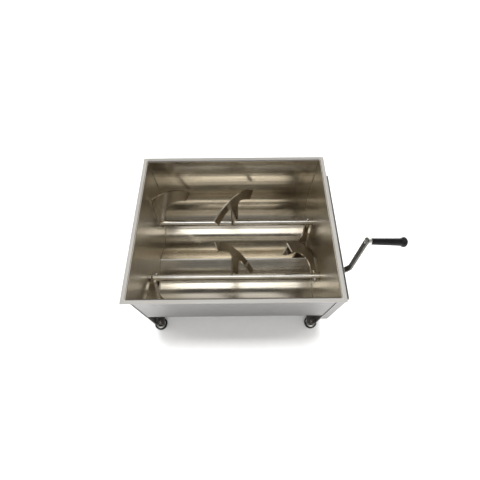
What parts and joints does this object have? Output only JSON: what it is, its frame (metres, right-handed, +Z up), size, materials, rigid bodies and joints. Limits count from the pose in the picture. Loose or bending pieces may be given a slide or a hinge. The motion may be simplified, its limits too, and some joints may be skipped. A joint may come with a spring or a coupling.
{
  "type": "manual meat mixer",
  "caption": "Open steel mixing tank with paired counter-rotating paddle shafts, a covered gear train and a joggled hand crank, standing on rubber feet.",
  "frame": {"origin": "on the floor under the middle of the tank, in the plane of the feet's bottom faces", "axes": "+X towards the crank (right), +Y to the rear, +Z up"},
  "size_m": [0.7074, 0.434, 0.3243],
  "materials": {
    "sheet_steel": "satin stainless sheet, fine straight brushing",
    "shaft_steel": "turned and polished stainless bar",
    "paddle_steel": "cut stainless plate, satin faces and dark edges",
    "gear_steel": "machined steel, greased",
    "bearing_bronze": "turned bronze",
    "housing_metal": "turned aluminium, satin",
    "fastener_steel": "bright stainless fasteners",
    "crank_steel": "dull dark stainless flat bar",
    "collar_steel": "bright turned collar and pin",
    "grip_plastic": "black moulded plastic, fine grain",
    "foot_rubber": "black moulded rubber"
  },
  "bodies": {
    "tank": {"cover_bush": "bearing_bronze", "cover_screws": "fastener_steel", "cover_spacers": "fastener_steel", "foot_front_left": "foot_rubber", "foot_front_right": "foot_rubber", "foot_nuts": "fastener_steel", "foot_rear_left": "foot_rubber", "foot_rear_right": "foot_rubber", "foot_screws": "fastener_steel", "foot_washers": "fastener_steel", "front_idler_clip": "gear_steel", "front_idler_pin": "gear_steel", "front_left_bushing": "bearing_bronze", "front_left_housing": "housing_metal", "front_right_bushing": "bearing_bronze", "gear_cover": "sheet_steel", "housing_screws": "fastener_steel", "left_end_plate": "sheet_steel", "rear_idler_clip": "gear_steel", "rear_idler_pin": "gear_steel", "rear_left_bushing": "bearing_bronze", "rear_left_housing": "housing_metal", "rear_right_bushing": "bearing_bronze", "right_end_plate": "sheet_steel", "trough_sheet": "sheet_steel"},
    "front_shaft_body": {"front_shaft": "shaft_steel", "front_left_hook": "paddle_steel", "front_middle_paddle": "paddle_steel", "front_right_hook": "paddle_steel", "front_hook_bolts": "fastener_steel", "front_gear": "gear_steel", "front_gear_key": "gear_steel", "front_gear_clip": "gear_steel", "crank_hub": "crank_steel", "crank_arm": "crank_steel", "crank_washer": "fastener_steel", "crank_bolt": "fastener_steel", "crank_set_screw": "fastener_steel", "grip_collar": "collar_steel", "grip_spindle": "collar_steel"},
    "rear_shaft_body": {"rear_shaft": "shaft_steel", "rear_left_hook": "paddle_steel", "rear_middle_paddle": "paddle_steel", "rear_right_hook": "paddle_steel", "rear_hook_bolts": "fastener_steel", "rear_gear": "gear_steel", "rear_gear_key": "gear_steel", "rear_gear_clip": "gear_steel"},
    "front_idler": {"front_idler_gear": "gear_steel"},
    "rear_idler": {"rear_idler_gear": "gear_steel"},
    "grip_body": {"grip": "grip_plastic"}
  },
  "joints": [
    {"name": "front_shaft_turn", "type": "hinge", "parent": "tank", "child": "front_shaft_body", "pos_m": [0, -0.093, 0.143], "axis": [1, 0, 0], "continuous": true},
    {"name": "rear_shaft_turn", "type": "hinge", "parent": "tank", "child": "rear_shaft_body", "pos_m": [0, 0.093, 0.143], "axis": [1, 0, 0], "continuous": true},
    {"name": "front_idler_turn", "type": "hinge", "parent": "tank", "child": "front_idler", "pos_m": [0, -0.031, 0.143], "axis": [1, 0, 0], "continuous": true},
    {"name": "rear_idler_turn", "type": "hinge", "parent": "tank", "child": "rear_idler", "pos_m": [0, 0.031, 0.143], "axis": [1, 0, 0], "continuous": true},
    {"name": "grip_spin", "type": "hinge", "parent": "front_shaft_body", "child": "grip_body", "pos_m": [0.3333, -0.0632, 0.31372], "axis": [0.9988, -0.0083, -0.0477], "continuous": true}
  ],
  "couplings": [
    {"joint": "rear_shaft_turn", "follows": "front_shaft_turn", "ratio": -1},
    {"joint": "front_idler_turn", "follows": "front_shaft_turn", "ratio": -1},
    {"joint": "rear_idler_turn", "follows": "front_shaft_turn", "ratio": 1}
  ]
}
